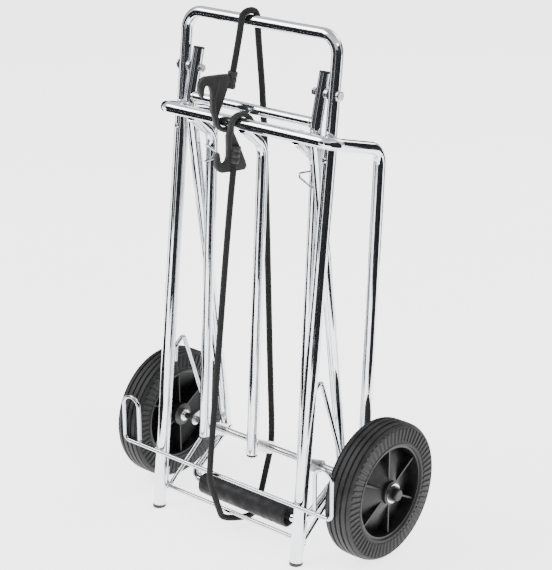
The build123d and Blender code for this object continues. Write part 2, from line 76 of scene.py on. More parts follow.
class Value:
    """A shader socket that takes part in Python arithmetic."""

    def __init__(self, graph: "Graph", socket: bpy.types.NodeSocket) -> None:
        """Wraps one output socket.

        Args:
            graph: the material's graph, which gets the nodes.
            socket: the output that holds the number, colour or vector.
        """
        self.graph = graph
        self.socket = socket

    def _math(self, operation: str, first: "Value | float", second: "Value | float") -> "Value":
        """Adds one Math node and returns its result."""
        return self.graph.add("ShaderNodeMath", {"operation": operation},
                              {0: first, 1: second}).out()

    def __add__(self, other: "Value | float") -> "Value":
        """Sum."""
        return self._math("ADD", self, other)

    def __radd__(self, other: float) -> "Value":
        """Sum with a number on the left."""
        return self._math("ADD", other, self)

    def __sub__(self, other: "Value | float") -> "Value":
        """Difference."""
        return self._math("SUBTRACT", self, other)

    def __rsub__(self, other: float) -> "Value":
        """Difference with a number on the left."""
        return self._math("SUBTRACT", other, self)

    def __mul__(self, other: "Value | float") -> "Value":
        """Product."""
        return self._math("MULTIPLY", self, other)

    def __rmul__(self, other: float) -> "Value":
        """Product with a number on the left."""
        return self._math("MULTIPLY", other, self)

    def __pow__(self, other: float) -> "Value":
        """Power."""
        return self._math("POWER", self, other)

    def sine(self) -> "Value":
        """Sine of a number of whole turns."""
        return self._math("SINE", self * TURN, 0.0)


class Made:
    """A node that has been added, ready to give its outputs."""

    def __init__(self, graph: "Graph", node: bpy.types.Node) -> None:
        """Keeps the node and the graph it is in."""
        self.graph = graph
        self.node = node

    def out(self, key: "str | int" = 0) -> Value:
        """Returns one output as a Value."""
        return Value(self.graph, self.node.outputs[key])


class Graph:
    """The node graph of one material or of the world."""

    def __init__(self, owner: "bpy.types.Material | bpy.types.World") -> None:
        """Starts an empty graph.

        Args:
            owner: the material or world that the graph belongs to.
        """
        self.owner = owner
        owner.use_nodes = True
        self.tree = owner.node_tree
        self.tree.nodes.clear()

    def add(self, kind: str, settings: Mapping | None = None,
            sockets: Mapping | None = None) -> Made:
        """Adds any node.

        Args:
            kind: the node's type.
            settings: its properties, set first; "stops" are a ramp's places and colours.
            sockets: values or links of its inputs, by name or number.

        Returns:
            The node, wrapped.
        """
        node = self.tree.nodes.new(kind)
        for key, setting in (settings or {}).items():
            if key == "stops":
                self._stops(node.color_ramp, setting)
            else:
                setattr(node, key, setting)
        for key, given in (sockets or {}).items():
            if isinstance(given, Value):
                self.tree.links.new(given.socket, node.inputs[key])
            else:
                node.inputs[key].default_value = given
        return Made(self, node)

    @staticmethod
    def _stops(ramp: bpy.types.ColorRamp, stops: Sequence[tuple[float, Colour]]) -> None:
        """Gives a ramp its stops."""
        while len(ramp.elements) < len(stops):
            ramp.elements.new(1.0)
        for element, (place, colour) in zip(ramp.elements, stops):
            element.position = place
            element.color = colour

    def place(self) -> Value:
        """Position on the object in metres, in the cart's frame."""
        return self.add("ShaderNodeTexCoord").out("Object")

    def speckle(self, scale: float, detail: float = 2.0, at: Value | None = None) -> Value:
        """Noise from 0 to 1, its features about 1/scale metres wide."""
        return self.add("ShaderNodeTexNoise", {}, {"Vector": at or self.place(), "Scale": scale,
                                                   "Detail": detail}).out(0)

    def range(self, given: Value, low: float, high: float) -> Value:
        """Spreads the middle of a noise over 0 to 1."""
        return self.add("ShaderNodeMapRange", {"clamp": True},
                        {"Value": given, "From Min": low, "From Max": high}).out(0)

    def blend(self, factor: Value, first: Colour, second: Colour) -> Value:
        """Colour between two, by a factor."""
        return self.add("ShaderNodeMix", {"data_type": "RGBA"},
                        {"Factor": factor, FIRST_COLOUR: first, SECOND_COLOUR: second}
                        ).out(MIXED_COLOUR)

    def bump(self, height: Value, depth: float, strength: float = 1.0) -> Value:
        """Normal of a surface with that height, its full relief depth metres."""
        return self.add("ShaderNodeBump", {}, {"Height": height, "Distance": depth,
                                               "Strength": strength}).out(0)

    def surface(self, sockets: Mapping) -> bpy.types.Material:
        """Ends a material's graph with a Principled shader.

        Args:
            sockets: values or links of the shader's inputs.

        Returns:
            The finished material.
        """
        shader = self.add("ShaderNodeBsdfPrincipled", {}, sockets)
        self.add("ShaderNodeOutputMaterial", {}, {"Surface": shader.out()})
        return self.owner


# ---------------------------------------------------------------- finishes


@dataclass(frozen=True)
class Plated:
    """Chrome or zinc plate: bright, with faint clouds and a fine grain."""

    name: str
    bright: Colour = (0.80, 0.82, 0.85, 1.0)
    dim: Colour = (0.68, 0.70, 0.73, 1.0)
    smooth: float = 0.03
    dull: float = 0.10
    relief: float = 0.02 * MM

    def material(self) -> bpy.types.Material:
        """Builds the plate's material."""
        graph = Graph(bpy.data.materials.new(self.name))
        clouds = graph.range(graph.speckle(26.0, 4.0), 0.35, 0.68)
        grain = graph.speckle(1400.0)
        return graph.surface({
            "Base Color": graph.blend(clouds, self.bright, self.dim),
            "Metallic": 1.0,
            "Roughness": self.smooth + clouds * (self.dull - self.smooth) + grain * 0.02,
            "Normal": graph.bump(graph.speckle(55.0, 2.0), self.relief, 0.10),
        })


@dataclass(frozen=True)
class Moulded:
    """Black moulded plastic with a fine spark-eroded grain and rubbed edges."""

    name: str
    body: Colour = (0.007, 0.007, 0.0075, 1.0)
    rubbed: Colour = (0.026, 0.026, 0.027, 1.0)
    roughness: float = 0.34
    relief: float = 0.10 * MM

    def material(self) -> bpy.types.Material:
        """Builds the plastic's material."""
        graph = Graph(bpy.data.materials.new(self.name))
        edge = graph.range(graph.add("ShaderNodeNewGeometry").out("Pointiness"), 0.50, 0.62)
        grain = graph.speckle(1500.0, 3.0)
        handled = graph.range(graph.speckle(60.0, 4.0), 0.40, 0.75)
        wear = graph.add("ShaderNodeMath", {"operation": "MAXIMUM"},
                         {0: edge * 0.8, 1: handled * 0.35}).out()
        return graph.surface({
            "Base Color": graph.blend(wear, self.body, self.rubbed),
            "Roughness": self.roughness + handled * 0.12 + grain * 0.10,
            "Normal": graph.bump(grain, self.relief, 0.5),
            "Specular IOR Level": 0.34,
        })


@dataclass(frozen=True)
class Rubber:
    """Tyre rubber: dark grey, dry, with a dusty bloom."""

    name: str
    body: Colour = (0.010, 0.010, 0.0105, 1.0)
    bloom: Colour = (0.030, 0.030, 0.031, 1.0)

    def material(self) -> bpy.types.Material:
        """Builds the rubber's material."""
        graph = Graph(bpy.data.materials.new(self.name))
        bloom = graph.range(graph.speckle(48.0, 5.0), 0.38, 0.72)
        grain = graph.speckle(1100.0, 4.0)
        return graph.surface({
            "Base Color": graph.blend(bloom * 0.7 + grain * 0.25, self.body, self.bloom),
            "Roughness": 0.50 + bloom * 0.14 + grain * 0.08,
            "Normal": graph.bump(grain, 0.16 * MM, 0.6),
            "Specular IOR Level": 0.28,
        })


@dataclass(frozen=True)
class Foam:
    """Skinned foam of the grip: matt, pitted, a little glossy where it is held."""

    name: str
    body: Colour = (0.007, 0.007, 0.008, 1.0)
    worn: Colour = (0.020, 0.020, 0.021, 1.0)

    def material(self) -> bpy.types.Material:
        """Builds the foam's material."""
        graph = Graph(bpy.data.materials.new(self.name))
        place = graph.place()
        pits = graph.add("ShaderNodeTexVoronoi", {"feature": "F1"},
                         {"Vector": place, "Scale": 620.0}).out("Distance")
        worn = graph.range(graph.speckle(75.0, 4.0), 0.42, 0.72)
        return graph.surface({
            # the colour also darkens a little into the pits, following their depth: painted shade
            "Base Color": graph.blend(worn * 0.7 + pits * 0.2, self.body, self.worn),
            "Roughness": 0.62 - worn * 0.18,
            "Normal": graph.bump(pits + graph.speckle(260.0, 3.0) * 0.8, 0.22 * MM, 0.6),
            "Specular IOR Level": 0.26,
        })


@dataclass(frozen=True)
class Woven:
    """Plaited cover of the elastic cord, drawn along and round it, with painted shade darkening the
    hollows between the yarns.
    """

    name: str
    yarn: Colour = (0.020, 0.020, 0.021, 1.0)
    # gap: darker colour of the hollows between the yarns, painted shade
    gap: Colour = (0.004, 0.004, 0.004, 1.0)
    plaits: float = 230.0
    around: float = 8.0

    def material(self) -> bpy.types.Material:
        """Builds the plait from two crossed sets of yarns; its colour follows their height, so the
        hollows get painted shade.
        """
        graph = Graph(bpy.data.materials.new(self.name))
        split = graph.add("ShaderNodeSeparateXYZ", {},
                          {0: graph.add("ShaderNodeTexCoord").out("UV")})
        along, about = split.out(0) * self.plaits, split.out(1) * self.around
        weave = (along + about).sine() * (along - about).sine()
        height = weave * 0.5 + 0.5
        fuzz = graph.speckle(2200.0, 3.0)
        return graph.surface({
            # colour follows the weave's height: painted shade in the hollows between the yarns
            "Base Color": graph.blend((height * 0.8 + fuzz * 0.2) ** 1.3, self.gap, self.yarn),
            "Roughness": 0.72 + fuzz * 0.2,
            "Normal": graph.bump(height + fuzz * 0.3, 0.45 * MM, 0.8),
            "Specular IOR Level": 0.15,
            "Sheen Weight": 0.06,
        })


@dataclass(frozen=True)
class Palette:
    """Every finish of the cart."""

    chrome: Plated = Plated("chrome_tube_finish")
    wire: Plated = Plated("chrome_wire_finish", (0.62, 0.64, 0.67, 1.0),
                          (0.46, 0.48, 0.51, 1.0), 0.05, 0.16, 0.04 * MM)
    steel: Plated = Plated("bright_steel_finish", (0.74, 0.74, 0.75, 1.0),
                           (0.52, 0.52, 0.54, 1.0), 0.16, 0.34, 0.05 * MM)
    weld: Plated = Plated("weld_finish", (0.80, 0.74, 0.60, 1.0), (0.48, 0.41, 0.28, 1.0),
                          0.18, 0.42, 0.20 * MM)
    plastic: Moulded = Moulded("black_plastic_finish")
    rim: Moulded = Moulded("rim_plastic_finish", (0.004, 0.004, 0.0045, 1.0),
                           (0.030, 0.030, 0.032, 1.0), 0.34)
    bush: Moulded = Moulded("bush_plastic_finish", (0.030, 0.030, 0.032, 1.0),
                            (0.080, 0.080, 0.083, 1.0), 0.42)
    hook: Moulded = Moulded("hook_plastic_finish", (0.008, 0.008, 0.0085, 1.0),
                            (0.034, 0.034, 0.033, 1.0), 0.42, 0.16 * MM)
    rubber: Rubber = Rubber("tyre_rubber_finish")
    foam: Foam = Foam("grip_foam_finish")
    woven: Woven = Woven("woven_cord_finish")


class Wardrobe:
    """Builds each finish once and puts it on objects."""

    def __init__(self, palette: Palette) -> None:
        """Keeps the palette; materials are made when first asked for."""
        self.palette = palette
        self._made: dict[str, bpy.types.Material] = {}

    def get(self, key: str) -> bpy.types.Material:
        """Returns the material of a named finish."""
        if key not in self._made:
            self._made[key] = getattr(self.palette, key).material()
        return self._made[key]

    def dress(self, piece: bpy.types.Object, key: str) -> None:
        """Puts a finish in every material slot of an object."""
        if not piece.material_slots:
            piece.data.materials.append(self.get(key))
        for slot in piece.material_slots:
            slot.material = self.get(key)

    def dress_nodes(self, names: Iterable[str], key: str) -> None:
        """Puts a finish on nodes of the frame."""
        for name in names:
            self.dress(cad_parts[name], key)


# ---------------------------------------------------------------- meshes


def skin(name: str, rings: Sequence[Sequence[Vector]], loop: bool = False,
         uvs: Callable[[int, int], tuple[float, float]] | None = None) -> bpy.types.Object:
    """Builds a surface from closed rings of points.

    Args:
        name: the new object's name.
        rings: rings with the same number of points.
        loop: joins the last ring to the first; otherwise the ends are closed by a face.
        uvs: gives the UV of a ring's number and a point's number, each up to its count.

    Returns:
        The object, linked to the scene.
    """
    count = len(rings[0])
    vertices = [point for ring in rings for point in ring]
    faces, corners = [], []
    for row in range(len(rings) if loop else len(rings) - 1):
        after = (row + 1) % len(rings)
        for column in range(count):
            beside = (column + 1) % count
            faces.append((row * count + column, row * count + beside,
                          after * count + beside, after * count + column))
            corners.append(((row, column), (row, column + 1), (row + 1, column + 1),
                            (row + 1, column)))
    if not loop:
        last = (len(rings) - 1) * count
        faces += [tuple(reversed(range(count))), tuple(range(last, last + count))]
        corners += [tuple((0, i) for i in reversed(range(count))),
                    tuple((len(rings) - 1, i) for i in range(count))]
    mesh = bpy.data.meshes.new(name)
    mesh.from_pydata(vertices, [], faces)
    if uvs:
        layer = mesh.uv_layers.new(name="UVMap")
        flat = [uvs(row, column) for face in corners for row, column in face]
        for loop_uv, uv in zip(layer.data, flat):
            loop_uv.uv = uv
    mesh.shade_smooth()
    return linked(name, mesh)


def frames(path: Sequence[Vector]) -> list[tuple[Vector, Vector, Vector]]:
    """Point and two cross directions along a path, carried on without twist."""
    found: list[tuple[Vector, Vector, Vector]] = []
    side = Vector((1, 0, 0))
    for number, point in enumerate(path):
        ahead = (path[min(number + 1, len(path) - 1)] - path[max(number - 1, 0)]).normalized()
        side = side - ahead * side.dot(ahead)
        if side.length < 0.1:
            side = ahead.orthogonal()
        side.normalize()
        found.append((point, side.copy(), ahead.cross(side)))
    return found


def sweep(name: str, path: Sequence[Vector], radius: Callable[[float], float],
          sides: int = 14) -> bpy.types.Object:
    """Round body along a path.

    Args:
        name: the new object's name.
        path: centre line.
        radius: radius at a fraction of the way along.
        sides: points in a ring.

    Returns:
        The object, with UVs in metres along and turns round.
    """
    rings, far = [], [0.0]
    for first, second in zip(path, path[1:]):
        far.append(far[-1] + (second - first).length)
    for number, (point, side, other) in enumerate(frames(path)):
        size = radius(far[number] / far[-1])
        rings.append([point + (side * math.cos(TURN * k / sides)
                               + other * math.sin(TURN * k / sides)) * size
                      for k in range(sides)])
    return skin(name, rings, uvs=lambda row, column: (far[row], column / sides))


def turned(name: str, profile: Callable[[float], Sequence[tuple[float, float]]], steps: int,
           centre: Vector) -> bpy.types.Object:
    """Body turned about a line along X, its closed outline free to change with the angle.

    Args:
        name: the new object's name.
        profile: gives (x, radius) points at a fraction of the turn.
        steps: number of sections.
        centre: middle of the turned body.

    Returns:
        The object.
    """
    sections = [profile(step / steps) for step in range(steps)]
    rings = []
    for number in range(len(sections[0])):
        rings.append([centre + Vector((section[number][0],
                                       section[number][1] * math.cos(TURN * step / steps),
                                       section[number][1] * math.sin(TURN * step / steps)))
                      for step, section in enumerate(sections)])
    return skin(name, rings, loop=True)


def middle_of(node: str) -> Vector:
    """Middle of a node's box at rest."""
    low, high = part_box(node)
    return (Vector(low) + Vector(high)) / 2


def linked(name: str, data: bpy.types.ID) -> bpy.types.Object:
    """Puts a mesh, lamp or camera in the scene as a new object."""
    made = bpy.data.objects.new(name, data)
    bpy.context.scene.collection.objects.link(made)
    return made


def joined(name: str, pieces: Sequence[bpy.types.Object]) -> bpy.types.Object:
    """Joins several new meshes into the first one and names it."""
    for other in bpy.context.selected_objects:
        other.select_set(False)
    for piece in pieces:
        piece.select_set(True)
    bpy.context.view_layer.objects.active = pieces[0]
    bpy.ops.object.join()
    pieces[0].name = name
    pieces[0].data.name = name
    pieces[0].select_set(False)
    return pieces[0]


# ---------------------------------------------------------------- studio


@dataclass
class Studio:
    """Camera, a pale floor that glows with its own light, and soft light."""

    eye: Point = (1.4911, -1.7094, 1.2153)
    azimuth: float = 40.79
    elevation: float = 20.75
    roll: float = -0.24
    lens: float = 108.7
    floor_radius: float = 10.0

    def camera(self) -> None:
        """Stands the camera and makes it the scene's."""
        data = bpy.data.cameras.new("camera")
        data.lens = self.lens
        data.sensor_width = 36.0
        data.clip_end = 60.0
        camera = linked("camera", data)
        turn = Matrix.Rotation(math.radians(self.azimuth), 4, "Z")
        tilt = Matrix.Rotation(math.radians(90 - self.elevation), 4, "X")
        roll = Matrix.Rotation(math.radians(self.roll), 4, "Z")
        camera.matrix_world = Matrix.Translation(self.eye) @ turn @ tilt @ roll
        bpy.context.scene.camera = camera

    def floor(self) -> None:
        """Lays the round pale floor just under the feet; it glows with its own painted light, which
        keeps it pale and also lights the cart from below.
        """
        graph = Graph(bpy.data.materials.new("floor_finish"))
        cloud = graph.speckle(3.0, 3.0)
        material = graph.surface({
            "Base Color": graph.blend(cloud, (0.93, 0.93, 0.93, 1.0), (0.90, 0.90, 0.90, 1.0)),
            "Roughness": 0.55 + cloud * 0.1,
            "Specular IOR Level": 0.25,
            # painted light: the floor glows by its own emission, though it is no lamp
            "Emission Color": graph.blend(cloud, (1.0, 1.0, 1.0, 1.0), (0.97, 0.97, 0.97, 1.0)),
            "Emission Strength": 2.6,
        })
        steps = 96
        mesh = bpy.data.meshes.new("floor")
        edge = [(self.floor_radius * math.cos(TURN * k / steps),
                 self.floor_radius * math.sin(TURN * k / steps), -0.0004) for k in range(steps)]
        mesh.from_pydata(edge, [], [tuple(range(steps))])
        mesh.materials.append(material)
        floor = linked("floor", mesh)

    def card(self, name: str, bearing: float, wide: float, near: tuple[float, float],
             far: tuple[float, float]) -> None:
        """Sets a dark card that only shows in the chrome.

        Args:
            name: name of the card.
            bearing: direction from the cart in degrees, 0 along +X.
            wide: its width.
            near: distance and height of its lower or nearer edge.
            far: distance and height of the other edge.
        """
        graph = Graph(bpy.data.materials.new(name + "_finish"))
        material = graph.surface({
            "Base Color": graph.blend(graph.speckle(4.0), (0.006, 0.006, 0.007, 1.0),
                                      (0.012, 0.012, 0.013, 1.0)), "Roughness": 0.95,
            "Specular IOR Level": 0.05})
        angle = math.radians(bearing)
        out = Vector((math.cos(angle), math.sin(angle), 0))
        half = Vector((-math.sin(angle), math.cos(angle), 0)) * (wide / 2)
        edges = [out * away + Vector((0, 0, rise)) for away, rise in (near, far)]
        mesh = bpy.data.meshes.new(name)
        mesh.from_pydata([edges[0] - half, edges[0] + half, edges[1] + half, edges[1] - half],
                         [], [(0, 1, 2, 3)])
        mesh.materials.append(material)
        card = linked(name, mesh)
        card.visible_camera = False
        card.visible_diffuse = False
        card.visible_shadow = False

    def lamp(self, name: str, place: Point, size: float, power: float) -> None:
        """Hangs a square soft lamp that points at the cart's middle."""
        data = bpy.data.lights.new(name, "AREA")
        data.size = size
        data.energy = power
        lamp = linked(name, data)
        lamp.location = place
        aim = Vector((0, 0, 0.35)) - Vector(place)
        lamp.rotation_euler = aim.to_track_quat("-Z", "Y").to_euler()

    def sky(self) -> None:
        """Lights the room: pale walls under a bright ceiling."""
        world = bpy.data.worlds.new("room")
        bpy.context.scene.world = world
        graph = Graph(world)
        split = graph.add("ShaderNodeSeparateXYZ", {},
                          {0: graph.add("ShaderNodeTexCoord").out("Generated")})
        height = split.out(2)
        rise = graph.add("ShaderNodeValToRGB", {"stops": (
            (0.0, (0.78, 0.78, 0.79, 1.0)), (0.35, (0.95, 0.95, 0.95, 1.0)),
            (0.80, (1.0, 1.0, 1.0, 1.0)), (1.0, (0.60, 0.60, 0.61, 1.0)))},
            {"Fac": height})
        shade = graph.add("ShaderNodeBackground", {}, {"Color": rise.out(), "Strength": 1.0})
        graph.add("ShaderNodeOutputWorld", {}, {"Surface": shade.out()})

    def build(self) -> None:
        """Sets the whole studio."""
        self.camera()
        self.floor()
        self.sky()
        self.card("card_right", 352.0, 0.90, (0.72, 0.0), (0.86, 1.25))
        self.card("card_front", 318.0, 1.90, (1.35, 0.0), (1.35, 1.15))
        self.card("card_gap", 266.0, 0.60, (1.40, 0.25), (1.40, 1.25))
        self.card("card_left", 232.0, 1.30, (1.90, 0.0), (1.90, 1.30))
        self.card("card_left_floor", 230.0, 1.00, (0.55, 0.002), (1.88, 0.002))
        self.card("card_back", 118.0, 0.80, (1.30, 0.0), (1.30, 1.15))
        self.card("card_back_right", 62.0, 0.70, (1.20, 0.0), (1.20, 1.15))
        self.card("card_back_left", 166.0, 0.70, (1.10, 0.0), (1.10, 1.15))
        self.lamp("key", (-1.6, -1.5, 2.6), 1.8, 85.0)
        self.lamp("fill", (2.4, -0.6, 2.0), 1.6, 36.0)
        self.lamp("rim_light", (0.4, 2.4, 2.2), 1.6, 36.0)
        log.info("studio: camera, floor and lamps stand")


# ---------------------------------------------------------------- bungee


@dataclass
class Hook:
    """Flat moulded hook round the deck's crossbar, with a horn, a fin and a ridge."""

    name: str
    node: str
    x: float
    up: int
    bar_y: float = -47.2 * MM
    bar_z: float = 600.0 * MM
    plate: float = 9.0 * MM
    twist: float = 22.0
    inner: float = 12.28 * MM
    strap: float = 6.6 * MM
    top: float = -2.58 * MM

    def arc(self, radius: float, start: float, end: float, steps: int) -> list[Point]:
        """Points of an arc about the throat's centre, in degrees from the back."""
        return [(radius * math.cos(math.radians(start + (end - start) * k / steps)),
                 self.top + radius * math.sin(math.radians(start + (end - start) * k / steps)))
                for k in range(steps + 1)]

    def outline(self) -> list[tuple[float, float]]:
        """Edge of the plate, bar at the origin and cord end down."""
        inside = self.arc(self.inner, 14.0, 180.0, 18)
        spine = [(x * MM, z * MM) for x, z in (
            (-12.2, -10), (-8.6, -18), (-4.5, -28), (0.2, -40), (4.6, -52), (6.0, -57.2),
            (5.6, -60.4), (2.6, -63.6), (-8, -64), (-22, -64), (-31.5, -63.8), (-36.5, -61.4),
            (-39.8, -57), (-41, -51.5), (-40.4, -44.5), (-38.6, -37.6), (-36.2, -35.0),
            (-34.0, -36.0), (-33.4, -41), (-32.4, -47.4), (-30.6, -51), (-28.2, -51.6),
            (-25.0, -48.6), (-22.9, -42), (-22.6, -28), (-22.8, -14), (-20.6, -8))]
        outside = self.arc(self.inner + self.strap, 180.0, 14.0, 18)
        return inside + spine + outside

    def put(self, across: float, back: float, rise: float) -> Vector:
        """Place in the cart of a point given across the plate, back and up."""
        cosine, sine = math.cos(math.radians(self.twist)), math.sin(math.radians(self.twist))
        return Vector((self.x + across * cosine + back * sine,
                       self.bar_y - across * sine + back * cosine, self.bar_z + self.up * rise))

    def body(self) -> bpy.types.Object:
        """Plate with rounded edges."""
        edge = self.outline()
        half = self.plate / 2
        vertices = [self.put(w, y, z) for w in (-half, half) for y, z in edge]
        count = len(edge)
        faces = [tuple(range(count)), tuple(reversed(range(count, 2 * count)))]
        faces += [(k, k + count, (k + 1) % count + count, (k + 1) % count) for k in range(count)]
        mesh = bpy.data.meshes.new(self.name)
        mesh.from_pydata(vertices, [], faces)
        shape = bmesh.new()
        shape.from_mesh(mesh)
        shape.faces.ensure_lookup_table()
        flats = [shape.faces[0], shape.faces[1]]
        bmesh.ops.recalc_face_normals(shape, faces=shape.faces[:])
        rounds = [e for f in flats for e in f.edges]
        bmesh.ops.bevel(shape, geom=rounds, offset=1.7 * MM, segments=3, profile=0.5,
                        affect="EDGES", clamp_overlap=True)
        bmesh.ops.triangulate(shape, faces=[f for f in shape.faces if len(f.verts) > 4])
        shape.to_mesh(mesh)
        shape.free()
        mesh.shade_smooth()
        mesh.set_sharp_from_angle(angle=math.radians(50))
        return linked(self.name, mesh)

    def ridge(self, face: int) -> bpy.types.Object:
        """Raised rib down one face, from the hook's crown to the cord."""
        line = [(-15.0, -0.5), (-15.6, -7), (-17.0, -16), (-17.2, -28), (-15.6, -40),
                (-12.4, -50), (-11.0, -62)]
        crown = [(x / MM, z / MM) for x, z in self.arc(self.inner + self.strap / 2, 60, 172, 9)]
        path = [self.put(face * (self.plate / 2 - 0.5 * MM), y * MM, z * MM)
                for y, z in crown + line]
        return sweep(f"ridge_{face}", path,
                     lambda way: (1.5 * MM) * min(1.0, 0.4 + 4 * way, 0.4 + 6 * (1 - way)), 10)

    def socket(self, end: Vector, inward: Vector) -> bpy.types.Object:
        """Round collar that the cord's end is clamped in, with two pressed rings."""
        along = (inward - end).normalized()
        start = end - along * 6 * MM
        stations = ((0.0, 5.4), (0.6, 6.6), (1.6, 7.0), (6.0, 7.0), (6.8, 6.5), (8.4, 6.5),
                    (9.2, 7.0), (14.0, 7.0), (14.8, 6.5), (16.4, 6.5), (17.2, 7.0),
                    (22.4, 7.0), (23.6, 6.4), (24.0, 5.4), (24.0, 4.85), (20.0, 4.85))
        side = along.orthogonal().normalized()
        other = along.cross(side)
        rings = [[start + along * far * MM
                  + (side * math.cos(TURN * k / 28) + other * math.sin(TURN * k / 28))
                  * radius * MM for k in range(28)] for far, radius in stations]
        return skin("socket", rings)

    def build(self, wardrobe: Wardrobe, end: Vector, inward: Vector) -> bpy.types.Object:
        """Makes the hook and puts it in its node's place."""
        piece = joined(self.name, [self.body(), self.ridge(1), self.ridge(-1),
                                   self.socket(end, inward)])
        wardrobe.dress(piece, "hook")
        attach(piece, "frame")
        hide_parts(self.node)
        log.info("%s hooks the crossbar", self.name)
        return piece


@dataclass
class Bungee:
    """Elastic cord round the folded cart, with a hook at each end."""

    diameter: float = 9.0 * MM
    length: float = 1.463
    route: tuple[Point, ...] = (
        (-31.0, -36.7, 648.0), (-24.5, -23.4, 718.8), (-21.5, -23.2, 745.2),
        (-18.5, 4.0, 745.2), (-18.2, 4.2, 718.8), (-9.5, 7.5, 596.0), (-10.0, 17.0, 197.0),
        (-11.0, 21.5, 101.0), (-4.0, 2.0, 74.0), (4.0, -28.0, 20.5), (6.0, -44.0, 11.5),
        (0.0, -64.0, 13.0), (-13.0, -87.0, 17.5), (-15.0, -91.0, 30.0),
        (-19.0, -105.5, 80.0), (-19.0, -105.5, 102.0), (-18.0, -95.0, 190.0),
        (-7.5, -64.5, 520.0), (-3.5, -58.9, 566.0))

    def centre_line(self) -> list[Vector]:
        """Points of the smooth spline that the route's points control."""
        curve = bpy.data.curves.new("bungee_line", "CURVE")
        curve.dimensions = "3D"
        curve.resolution_u = 36
        spline = curve.splines.new("NURBS")
        spline.points.add(len(self.route) - 1)
        for point, place in zip(spline.points, self.route):
            point.co = (*(v * MM for v in place), 1.0)
        spline.order_u = 3
        spline.use_endpoint_u = True
        holder = bpy.data.objects.new("bungee_line", curve)
        mesh = bpy.data.meshes.new_from_object(holder)
        points = [vertex.co.copy() for vertex in mesh.vertices]
        bpy.data.objects.remove(holder)
        bpy.data.curves.remove(curve)
        bpy.data.meshes.remove(mesh)
        return points

    def build(self, wardrobe: Wardrobe) -> None:
        """Lays the cord, then the hooks on its ends."""
        line = self.centre_line()
        cord = sweep("bungee_cover", line, lambda way: self.diameter / 2, 20)
        wardrobe.dress(cord, "woven")
        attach(cord, "frame")
        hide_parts("bungee_cord")
        ends = [Vector(p) * MM for p in self.route]
        upper = Hook("hook_upper", "bungee_hook_upper", -31.0 * MM, -1)
        lower = Hook("hook_lower", "bungee_hook_lower", -3.5 * MM, 1)
        hooks = [upper.build(wardrobe, ends[0], ends[1]),
                 lower.build(wardrobe, ends[-1], ends[-2])]
        tuple(line[0])
        [tuple(point) for point in line]
        log.info("bungee: %.3f m of spline", sum((b - a).length for a, b in zip(line, line[1:])))


# ---------------------------------------------------------------- wheels


@dataclass
class Wheel:
    """Ribbed rubber tyre on a dished plastic rim."""

    side: Side
    ribs: int = 64
    steps_per_rib: int = 6
    rib_share: float = 0.45
    rib_height: float = 1.6 * MM

    def wall(self) -> list[tuple[float, float, float]]:
        """Half of the tyre's outline: x, radius and how much of a rib stands there."""
        rows = [(19.0, 68.0, 0), (20.6, 68.3, 0), (21.6, 69.2, 0), (21.9, 70.4, 0),
                (21.7, 71.6, 0), (20.9, 72.3, 0), (20.9, 73.6, 0), (20.9, 74.2, 1),
                (20.9, 76.0, 1), (20.9, 84.0, 1), (20.8, 91.0, 1), (20.6, 92.6, 1),
                (20.5, 93.2, 0), (21.0, 93.9, 0), (20.6, 95.4, 0), (19.2, 97.1, 0),
                (17.8, 98.0, 0), (17.3, 96.9, 0), (16.5, 96.9, 0), (16.0, 98.9, 0),
                (13.8, 99.5, 0), (10.7, 99.8, 0), (10.3, 97.6, 0), (7.7, 97.6, 0),
                (7.3, 100.0, 0), (4.0, 100.0, 0), (1.4, 100.0, 0), (1.0, 97.6, 0)]
        return [(x * MM, r * MM, lift) for x, r, lift in rows]

    def profile(self, turn: float) -> list[tuple[float, float]]:
        """Closed outline of the tyre at a fraction of its turn."""
        phase = (turn * self.ribs) % 1.0
        stand = self.rib_height * (1.0 if phase < self.rib_share else 0.0)
        half = [(x + stand * lift, r) for x, r, lift in self.wall()]
        inside = [(-x, r) for x, r in half]
        return half + inside[::-1]

    def build(self, wardrobe: Wardrobe) -> None:
        """Makes the tyre in its node's place and dresses the rim and bush."""
        label = self.side.label
        piece = turned("ribbed_tyre_" + label, self.profile, self.ribs * self.steps_per_rib,
                       middle_of("tyre_" + label))
        piece.data.set_sharp_from_angle(angle=math.radians(38))
        wardrobe.dress(piece, "rubber")
        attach(piece, "wheel_" + label)
        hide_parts("tyre_" + label)
        wardrobe.dress_nodes(["rim_" + label], "rim")
        wardrobe.dress_nodes(["wheel_bush_" + label], "bush")
        log.info("wheel_%s: tyre with %d ribs", label, self.ribs)


# ---------------------------------------------------------------- grip


@dataclass
class HandGrip:
    """Foam roller with recessed ends and a slightly wrinkled skin."""

    half: float = 82.0 * MM
    radius: float = 16.7 * MM
    recess: float = 8.0 * MM
    bore: float = 6.7 * MM
    steps: int = 88
    stations: int = 130

    def profile(self, turn: float) -> list[tuple[float, float]]:
        """Closed outline at a fraction of the turn."""
        angle = TURN * turn
        rows: list[tuple[float, float]] = []
        for k in range(self.stations + 1):
            x = -self.half + 2 * self.half * k / self.stations
            spot = Vector((x * 85, 1.5 * math.cos(angle), 1.5 * math.sin(angle)))
            crease = noise.noise(spot * 1.6) * 0.55 + noise.noise(spot * 4.0) * 0.22
            end = min(1.0, (self.half - abs(x)) / (2.6 * MM))
            round_off = 1.5 * MM * (1 - math.sqrt(max(0.0, 1 - (1 - end) ** 2)))
            rows.append((x, self.radius + crease * MM * 0.8 - round_off))
        lip = self.radius - 3.4 * MM
        deep = self.half - self.recess
        rows += [(self.half, lip + 1.2 * MM), (self.half - 0.6 * MM, lip), (deep, lip - 0.6 * MM),
                 (deep, self.bore), (-deep, self.bore), (-deep, lip - 0.6 * MM),
                 (0.6 * MM - self.half, lip), (-self.half, lip + 1.2 * MM)]
        return rows

    def build(self, wardrobe: Wardrobe) -> None:
        """Makes the roller in its node's place."""
        piece = turned("foam_grip", self.profile, self.steps, middle_of("hand_grip"))
        wardrobe.dress(piece, "foam")
        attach(piece, "pull_handle")
        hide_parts("hand_grip")
        log.info("foam grip on the bow")


# ---------------------------------------------------------------- steel


